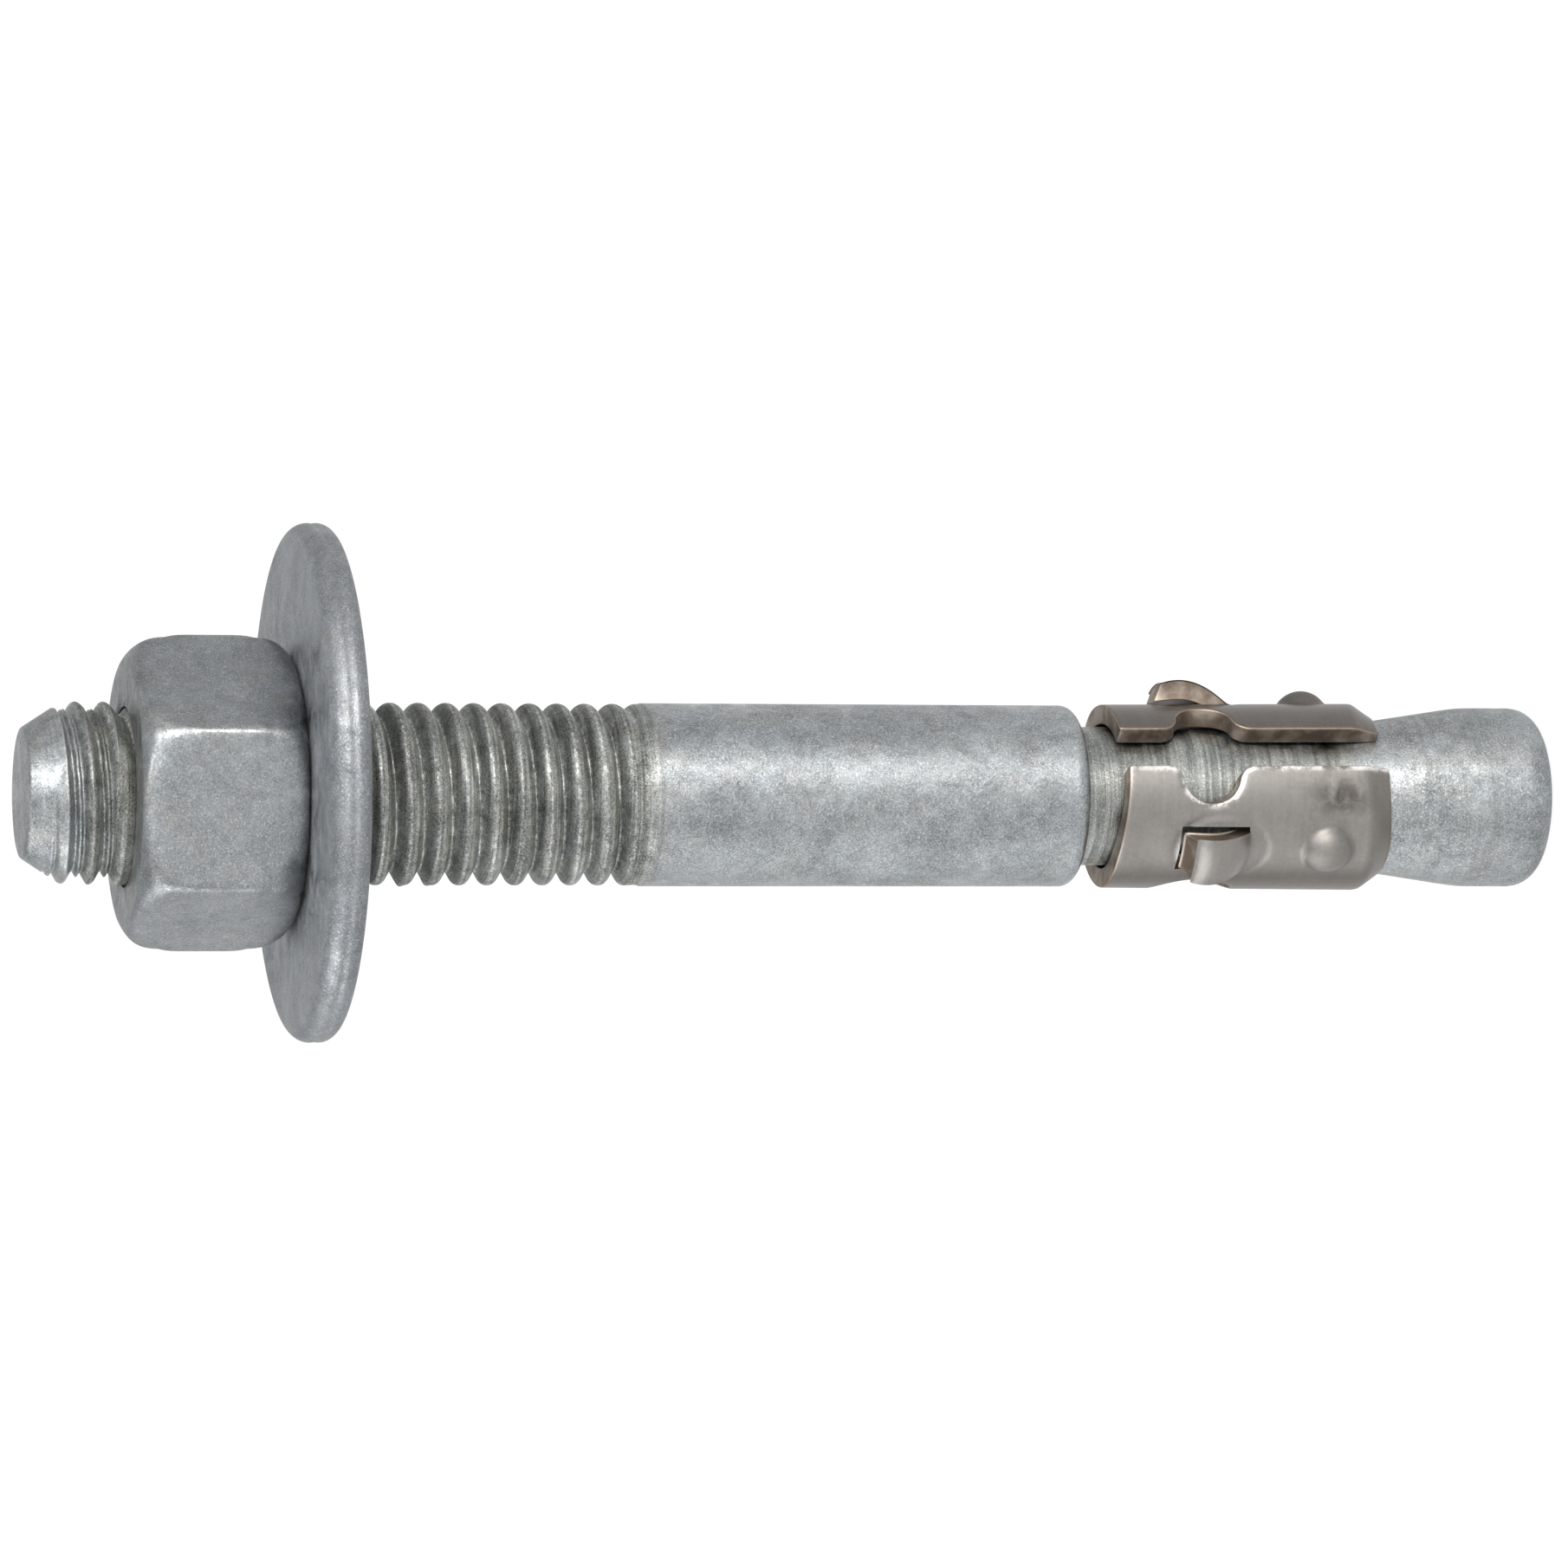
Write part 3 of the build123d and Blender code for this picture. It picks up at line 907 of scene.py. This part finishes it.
def mark(tree, name):
    """The value that a skin carries under this name."""
    return add(tree, "Attribute", {}, attribute_name=name).outputs["Fac"]


def centred_noise(tree, place, scale, strength, **inputs):
    """Noise about zero, its scale in features a millimetre."""
    noise = add(tree, "TexNoise", {"Vector": place, "Scale": scale, **inputs}).outputs["Fac"]
    return sums(tree, "MULTIPLY_ADD", noise, strength, -0.5 * strength)


def noise_mask(tree, place, scale, low, high, step="LINEAR", **inputs):
    """Ragged patches: 0 where the noise is under the low value, and 1 where it is over the high one."""
    noise = add(tree, "TexNoise", {"Vector": place, "Scale": scale, **inputs}).outputs["Fac"]
    limits = {"Value": noise, "From Min": low, "From Max": high}
    return add(tree, "MapRange", limits, interpolation_type=step).outputs["Result"]


def new_group(name, inputs, outputs):
    """An empty node group with its sockets. Returns it, what it is given and where its results go."""
    group = bpy.data.node_groups.new(name, "ShaderNodeTree")
    for direction, sockets in (("INPUT", inputs), ("OUTPUT", outputs)):
        for label, kind in sockets.items():
            group.interface.new_socket(label, in_out=direction, socket_type="NodeSocket" + kind)
    print(name, "takes", list(inputs), "and gives", list(outputs))
    return group, group.nodes.new("NodeGroupInput").outputs, group.nodes.new("NodeGroupOutput").inputs


# %% [markdown]
# ## Zinc, as a shared finish
#
# Hot zinc freezes into soft patches a few millimetres wide, each made of finer crystals, and handling leaves
# bright pin-pricks where the tops of the grains are rubbed. Patches, crystals, grain and specks are four
# noises, added to one brightness that multiplies the tint. Two more noises vary the hue and the gloss, since
# a coat that only changes in brightness looks like paint. The crystals and the grain also go out as a height
# for the bump. Stud, nut and washer share the group.

# %% Zinc coat group
warm_zinc = (1.03, 1.0, 0.95, 1)
cold_zinc = (0.95, 1.0, 1.06, 1)
zinc_roughness = 0.45


def zinc_coat_group():
    """Varied zinc: its colour, its roughness and its height."""
    group, given, result = new_group(
        "zinc_coat", {"Place": "Vector", "Tint": "Color", "Contrast": "Float"},
        {"Color": "Color", "Roughness": "Float", "Height": "Float"})
    place = given["Place"]
    patches = centred_noise(group, place, 0.28, 0.7, Detail=3.0, Distortion=0.4)
    crystals = centred_noise(group, place, 1.1, 0.9, Detail=4.0, Roughness=0.65, Distortion=0.6)
    grain = centred_noise(group, place, 8.5, 1.5, Detail=2.0)
    speck = noise_mask(group, place, 7.5, 0.5, 0.8, step="SMOOTHSTEP", Detail=1.0)
    mottle = sums(group, "ADD", sums(group, "ADD", patches, crystals), grain)
    varied = sums(group, "MULTIPLY_ADD", mottle, given["Contrast"], 1.0)
    coat = scaled(group, given["Tint"], sums(group, "MULTIPLY_ADD", speck, 0.6, varied))
    hue = add(group, "TexNoise", {"Vector": place, "Scale": 0.5, "Detail": 2.0}).outputs["Fac"]
    toned = blend(group, hue, warm_zinc, cold_zinc)
    colour = add(group, "VectorMath", {0: coat, 1: toned}, operation="MULTIPLY").outputs[0]
    group.links.new(colour, result["Color"])
    gloss = centred_noise(group, place, 0.45, 0.95, Detail=4.0, Roughness=0.65, Distortion=0.8)
    rubbed = sums(group, "MULTIPLY_ADD", speck, -0.1, zinc_roughness)
    group.links.new(sums(group, "ADD", gloss, rubbed), result["Roughness"])
    height = sums(group, "MULTIPLY_ADD", crystals, 1.5, sums(group, "MULTIPLY", grain, 0.6))
    group.links.new(height, result["Height"])
    return group


zinc_coat = zinc_coat_group()

# %% [markdown]
# ## Fine lines round the axis
#
# A lathe leaves fine rings on the neck, rolling leaves them along the thread, and a strip mill leaves them
# on the stainless strip, which is rolled up the same way. All three are one noise squeezed along the axis,
# so that it changes quickly up the stud and slowly round it. It goes out as a value about zero.

# %% Ring lines group
round_the_axis = 0.06


def ring_lines_group():
    """Fine rings about zero, their number set by Lines."""
    group, given, result = new_group("ring_lines", {"Place": "Vector", "Lines": "Float"}, {"Line": "Float"})
    stretch = {0: round_the_axis, 1: round_the_axis, 2: given["Lines"]}
    stretch = add(group, "CombineXYZ", stretch).outputs[0]
    squeezed = add(group, "VectorMath", {0: given["Place"], 1: stretch}, operation="MULTIPLY").outputs[0]
    line = centred_noise(group, squeezed, 1.0, 1.0, Detail=3.0, Roughness=0.7)
    group.links.new(line, result["Line"])
    return group


ring_lines = ring_lines_group()

# %% [markdown]
# ## Metal that takes a finish
#
# Every piece is bare or coated metal, so all four materials start and end in the same way. They start with
# the place on the piece in millimetres, which makes a noise's scale easy to judge beside a real part, and
# they end with the varied values on the one shader. The bump's depth is also given in millimetres.

# %% Start and end of a material
def new_metal(piece, name):
    """A metal material on a piece. Returns its tree, its shader and the place in millimetres."""
    material = bpy.data.materials.new(name)
    material.use_nodes = True
    piece.data.materials.append(material)
    print("material", name, "on", piece.name, end=", ")
    tree = material.node_tree
    shader = tree.nodes["Principled BSDF"]
    shader.inputs["Metallic"].default_value = 1.0
    return tree, shader, scaled(tree, add(tree, "TexCoord", {}).outputs["Object"], 1 / MM)


def use_group(tree, group, **inputs):
    """The results of a shared group."""
    return add(tree, "Group", inputs, node_tree=group).outputs


def finish(tree, shader, colour, roughness, height, depth):
    """The varied values wired to the shader, with a bump whose depth is in millimetres."""
    tree.links.new(colour, shader.inputs["Base Color"])
    tree.links.new(roughness, shader.inputs["Roughness"])
    bump = add(tree, "Bump", {"Strength": 1.0, "Distance": depth * MM, "Height": height})
    tree.links.new(bump.outputs["Normal"], shader.inputs["Normal"])
    print("finished with", len(tree.nodes), "nodes and a bump", depth, "mm deep")


# %% [markdown]
# ## The stud's finish
#
# One coat covers the stud, but each part of it was worked in its own way. In the thread the zinc is darker
# and rougher, and the flank that faces the cone end is painted lighter and slightly olive, as the lit side
# of each turn. The crests are rubbed bright, and the roots carry a painted highlight, in lines that a noise
# breaks up. The neck was turned, so it has lathe rings. The cone end was pressed and stays duller. The marks
# on the skin say where all this is.

# %% Stud material
zinc_tint = (0.272, 0.284, 0.29, 1)
zinc_turned = (0.236, 0.241, 0.23, 1)
# Lighter and olive, for painted light on the lit flank of the thread.
lit_flank_painted_zinc = (0.3, 0.303, 0.279, 1)
zinc_thread = (0.18, 0.184, 0.175, 1)
# Bright zinc for the worn crests, and for the painted highlight in the roots.
worn_crest_and_root_highlight_zinc = (0.36, 0.365, 0.36, 1)
zinc_bump = 0.009
neck_lines = 3.0
thread_lines = 4.4


def dress_stud():
    """Mottled zinc, darker in the thread, with painted light on one flank and a painted highlight in the
    roots, worn crests and a turned neck.
    """
    tree, shader, place = new_metal(stud, "galvanized_stud")
    threaded, crest, root, flank = (mark(tree, name) for name in ("threaded", "crest", "root", "flank"))
    turned, formed = mark(tree, "turned"), mark(tree, "formed")
    broken = noise_mask(tree, place, 2.6, 0.38, 0.62, Detail=4.0)
    tint = blend(tree, turned, zinc_tint, zinc_turned)
    # Painted light: the flank that faces the cone end, the lit side of each turn, is tinted lighter.
    tint = blend(tree, threaded, tint, blend(tree, flank, zinc_thread, lit_flank_painted_zinc))
    tint = blend(tree, sums(tree, "MULTIPLY", crest, broken), tint, worn_crest_and_root_highlight_zinc)
    # Painted highlight along the roots, in the same bright tint, broken up by a noise.
    tint = blend(tree, sums(tree, "MULTIPLY", root, sums(tree, "SUBTRACT", 0.8, broken)), tint, worn_crest_and_root_highlight_zinc)
    contrast = sums(tree, "MULTIPLY_ADD", threaded, 0.5, 1.0)
    coat = use_group(tree, zinc_coat, Place=place, Tint=tint, Contrast=contrast)
    lathe = use_group(tree, ring_lines, Place=place, Lines=neck_lines)["Line"]
    rolled = use_group(tree, ring_lines, Place=place, Lines=thread_lines)["Line"]
    lines = sums(tree, "MULTIPLY", lathe, turned)
    lines = sums(tree, "MULTIPLY_ADD", rolled, sums(tree, "MULTIPLY", threaded, 1.1), lines)
    colour = scaled(tree, coat["Color"], sums(tree, "MULTIPLY_ADD", lines, 2.0, 1.0))
    height = sums(tree, "MULTIPLY_ADD", lines, 3.0, coat["Height"])
    roughness = sums(tree, "MULTIPLY_ADD", threaded, 0.16, coat["Roughness"])
    roughness = sums(tree, "MULTIPLY_ADD", formed, 0.13, roughness)
    finish(tree, shader, colour, roughness, height, zinc_bump)


dress_stud()

# %% [markdown]
# ## The finish of the nut and the washer
#
# Small parts are coated loose and tumble together, so their edges rub first. The worn colour shows only
# where the skin's mark and a patchy noise agree, which makes a worn edge a broken line and not a drawn one.
# On the nut's corner that faces the key light, and along two lines round the washer's rim, this bright
# colour is also a painted highlight.
# The washer is duller than the nut, and its rim is darkened by painted shade. One function dresses both.

# %% Nut and washer materials
nut_tint = (0.222, 0.231, 0.236, 1)
washer_tint = (0.268, 0.279, 0.292, 1)
# Bright zinc, for worn edges and painted highlight.
wear_and_highlight_tint = (0.42, 0.42, 0.405, 1)
small_part_contrast = 0.75


def dress_zinc(piece, name, tint, wear_and_highlight_share, dullness, painted_rim_shade=0.0):
    """Plain zinc, worn bright and with a painted highlight where a mark says so, and painted shade on a rim.
    """
    tree, shader, place = new_metal(piece, name)
    # Painted shade: the tint is darkened on the washer's rim by this share.
    if painted_rim_shade:
        tint = blend(tree, sums(tree, "MULTIPLY", mark(tree, "rim"), painted_rim_shade), tint, (0, 0, 0, 1))
    patchy = noise_mask(tree, place, 1.0, 0.44, 0.6, Detail=5.0, Roughness=0.75)
    # Worn zinc and painted highlight, where the mark and the patchy noise agree.
    wear_and_highlight = sums(tree, "MULTIPLY", sums(tree, "MULTIPLY", mark(tree, "wear_and_highlight"), wear_and_highlight_share), patchy)
    tint = blend(tree, wear_and_highlight, tint, wear_and_highlight_tint)
    coat = use_group(tree, zinc_coat, Place=place, Tint=tint, Contrast=small_part_contrast)
    roughness = sums(tree, "MULTIPLY_ADD", wear_and_highlight, -0.1, sums(tree, "ADD", coat["Roughness"], dullness))
    finish(tree, shader, coat["Color"], roughness, coat["Height"], zinc_bump)


dress_zinc(nut, "galvanized_nut", nut_tint, wear_and_highlight_share=1.0, dullness=0.0)
dress_zinc(washer, "galvanized_washer", washer_tint, wear_and_highlight_share=0.12, dullness=0.15, painted_rim_shade=0.17)

# %% [markdown]
# ## The clip's finish
#
# Stainless strip has no coat. Its faces are smooth and warm grey, with faint mill lines, and what one reads
# on them is the work of the press: a brown torn wall where the strip was sheared, a rolled-over lip with a
# painted highlight along it, darker and duller dimples with painted shade in a ring round each, and a dark
# smudge. Away from its lit front the strip is darkened by painted shade. Every mark was made on the flat
# strip, so it lies in the right place on the rolled one.

# %% Clip material
clip_face = (0.26, 0.247, 0.233, 1)
# Darker, for painted shade away from the lit front.
clip_painted_shade = (0.14, 0.126, 0.115, 1)
# Dark, for painted shade round each dimple.
dimple_ring_painted_shade = (0.12, 0.105, 0.095, 1)
clip_dimple = (0.19, 0.18, 0.17, 1)
clip_facet = (0.17, 0.155, 0.14, 1)
clip_wall_dark = (0.19, 0.15, 0.12, 1)
clip_wall_light = (0.33, 0.28, 0.235, 1)
clip_edge = (0.36, 0.27, 0.19, 1)
# Near white, for the painted highlight along the lip.
lip_painted_highlight = (0.85, 0.82, 0.8, 1)
clip_smudge = (0.095, 0.085, 0.078, 1)
clip_roughness = 0.37
clip_lines = 2.6
clip_bump = 0.006


def clip_tint(tree, place, rim, dimple):
    """The strip's colour before its fine variation, from the face outwards to its edges, with painted shade
    and a painted highlight.
    """
    lip, smudge, painted_shade_off_front = (mark(tree, name) for name in ("lip", "smudge", "painted_shade_off_front"))
    # Painted shade on the strip where it turns away from its lit front.
    face = blend(tree, painted_shade_off_front, clip_face, clip_painted_shade)
    # The ring round each dimple is painted shade. The dimples and the facet at the cone end are darker in
    # tint.
    for marked_area, share, colour in ((mark(tree, "ring"), 0.45, dimple_ring_painted_shade), (dimple, 0.35, clip_dimple),
                                   (mark(tree, "facet"), 0.6, clip_facet)):
        face = blend(tree, sums(tree, "MULTIPLY", marked_area, share), face, colour)
    sheared = noise_mask(tree, place, 0.8, 0.42, 0.62, Detail=4.0)
    tint = blend(tree, rim, face, blend(tree, sheared, clip_wall_dark, clip_wall_light))
    edge = sums(tree, "MULTIPLY", sums(tree, "MULTIPLY", rim, sums(tree, "SUBTRACT", 1.0, rim)), 2.2)
    tint = blend(tree, edge, tint, clip_edge)
    # Painted highlight along the rolled-over lip, broken up by a noise.
    torn = noise_mask(tree, place, 0.9, 0.38, 0.55, Detail=4.0, Roughness=0.7)
    tint = blend(tree, sums(tree, "MULTIPLY", lip, torn), tint, lip_painted_highlight)
    smear = noise_mask(tree, place, 1.1, 0.3, 0.6, Detail=4.0, Distortion=0.5)
    return blend(tree, sums(tree, "MULTIPLY", smudge, smear), tint, clip_smudge)


def dress_clip():
    """Smooth warm stainless, browner and rougher on the sheared rim, with a painted highlight along the
    rolled-over lip.
    """
    tree, shader, place = new_metal(clip, "stainless_strip")
    rim, dimple = mark(tree, "rim"), mark(tree, "dimple")
    clouds = centred_noise(tree, place, 0.45, 0.35, Detail=3.0)
    grain = centred_noise(tree, place, 4.0, 0.25, Detail=2.0)
    lines = use_group(tree, ring_lines, Place=place, Lines=clip_lines)["Line"]
    level = sums(tree, "ADD", sums(tree, "MULTIPLY_ADD", lines, 0.22, clouds), sums(tree, "ADD", grain, 1.0))
    roughness = sums(tree, "MULTIPLY_ADD", rim, 0.12, clip_roughness)
    roughness = sums(tree, "MULTIPLY_ADD", dimple, 0.24, roughness)
    roughness = sums(tree, "MULTIPLY_ADD", clouds, 0.3, roughness)
    height = sums(tree, "MULTIPLY_ADD", lines, 0.35, grain)
    colour = scaled(tree, clip_tint(tree, place, rim, dimple), level)
    finish(tree, shader, colour, roughness, height, clip_bump)


dress_clip()

# %% [markdown]
# ## The floor
#
# The photo's ground is plain white, and a sheet of white paper would go grey wherever the light falls off.
# So the floor is two things at once. To the camera, and in reflections, it is mostly its own even glow. To
# all other light it is white paper, which sends a soft light back onto the metal.

# %% Floor
floor_size = 3.0
paper_white = (0.85, 0.85, 0.85, 1)
paper_roughness = 0.9
paper_glow = 1.05
glow_share = 0.88

floor_corners = [(x * floor_size, y * floor_size, 0) for x, y in ((-1, -1), (1, -1), (1, 1), (-1, 1))]
floor_mesh = bpy.data.meshes.new("floor")
floor_mesh.from_pydata(floor_corners, [], [(0, 1, 2, 3)])
floor = bpy.data.objects.new("floor", floor_mesh)
bpy.context.scene.collection.objects.link(floor)
floor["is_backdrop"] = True

paper = bpy.data.materials.new("floor_paper")
paper.use_nodes = True
floor_mesh.materials.append(paper)
paper_tree = paper.node_tree
sheet = paper_tree.nodes["Principled BSDF"]
sheet.inputs["Base Color"].default_value = paper_white
sheet.inputs["Roughness"].default_value = paper_roughness
ray = add(paper_tree, "LightPath", {}).outputs
seen = sums(paper_tree, "MAXIMUM", ray["Is Camera Ray"], ray["Is Glossy Ray"])
seen = sums(paper_tree, "MAXIMUM", seen, ray["Is Transmission Ray"])
glow = add(paper_tree, "Emission", {"Strength": paper_glow}).outputs[0]
both = {0: sums(paper_tree, "MULTIPLY", seen, glow_share), 1: sheet.outputs[0], 2: glow}
surface = add(paper_tree, "MixShader", both).outputs[0]
paper_tree.links.new(surface, paper_tree.nodes["Material Output"].inputs["Surface"])
print("floor", 2 * floor_size, "m wide, which glows to the camera by", glow_share)

# %% [markdown]
# ## The light
#
# The anchor stands on its cone end here, and the camera is turned so that it lies across the picture. The
# picture's upper side is therefore +X. The white world stands for the room. The key is a long, slightly warm
# softbox on the upper side, and it draws the bright band along the shank. A small one beyond the nut lights
# its end face. A wide one on the lower side and a fill from the front keep the shaded metal readable.

# %% Light
world_strength = 0.75
softboxes = {"key_softbox": ((0.42, -0.68, 0.0), (0.25, 0.9), 11, (1.0, 0.978, 0.94)),
             "high_softbox": ((0.29, -0.46, 0.74), (0.3, 0.3), 2.5, (1, 1, 1)),
             "low_softbox": ((-0.8, -0.1, 0.3), (0.9, 0.9), 6, (1, 1, 1)),
             "front_fill": ((0.0, -1.3, 0.35), (1.2, 0.6), 4.1, (1, 1, 1))}

world = bpy.data.worlds.new("studio")
bpy.context.scene.world = world
world.use_nodes = True
world.node_tree.nodes["Background"].inputs["Color"].default_value = (1, 1, 1, 1)
world.node_tree.nodes["Background"].inputs["Strength"].default_value = world_strength


def softbox(name, place, size, power, colour):
    """A rectangular lamp that faces the middle of the anchor. Sizes are in metres and power in watts."""
    data = bpy.data.lights.new(name, "AREA")
    data.shape = "RECTANGLE"
    data.size, data.size_y = size
    data.energy = power
    data.color = colour
    lamp = bpy.data.objects.new(name, data)
    middle = Vector((0, 0, tip_height / 2)) * MM
    lamp.location = place
    lamp.rotation_euler = (middle - Vector(place)).to_track_quat("-Z", "Y").to_euler()
    bpy.context.scene.collection.objects.link(lamp)
    print(name, "of", power, "W stands", round((middle - Vector(place)).length, 2), "m away")


for lamp_name, settings in softboxes.items():
    softbox(lamp_name, *settings)

# %% [markdown]
# ## The camera
#
# The camera was fitted to the photo by least squares. Places on the outline, such as the shank's edges, the
# tip's face, the washer's rims and the cone's end, were measured in the photo's pixels, and the distance,
# the focal length and the angles were changed until the solid's own edges fell on them. It looks from about
# 0.6 m, a little down onto the nut's end.

# %% Camera
photo_side = 1810
focal_pixels = 9791.2
camera_distance = 590.65
camera_elevation = math.radians(12.836)
camera_roll = math.radians(0.19)
aim_side, aim_height = 0.777, 54.499
sensor_width = 36

camera_data = bpy.data.cameras.new("camera")
camera_data.sensor_width = sensor_width
camera_data.lens = focal_pixels * sensor_width / photo_side
camera_data.clip_start = 0.01
camera = bpy.data.objects.new("camera", camera_data)
forward = Vector((0, math.cos(camera_elevation), -math.sin(camera_elevation)))
up = Vector((1, 0, 0))
right = forward.cross(up)
across = right * math.cos(camera_roll) + up * math.sin(camera_roll)
upright = up * math.cos(camera_roll) - right * math.sin(camera_roll)
aim = Vector((aim_side, 0, aim_height))
camera.matrix_world = Matrix.Translation((aim - forward * camera_distance) * MM) @ Matrix(
    (across, upright, -forward)).transposed().to_4x4()
bpy.context.scene.collection.objects.link(camera)
bpy.context.scene.camera = camera
bpy.context.scene.view_settings.view_transform = "Standard"
print("camera", camera_distance, "mm away, with a lens of", round(camera_data.lens, 1), "mm")

# %% [markdown]
# ## A last look at the sizes
#
# The skins may round a corner or sink a groove, but a skin that stands past its solid would no longer fit
# where the part goes. So the box round the plain solids and the box round the finished skins are printed
# side by side.

# %% Sizes and finish
seen_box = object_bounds()
for box_name, (low, high) in (("CAD", cad_box), ("visual", seen_box)):
    print(box_name, "box", [round((b - a) / MM, 3) for a, b in zip(low, high)], "mm")
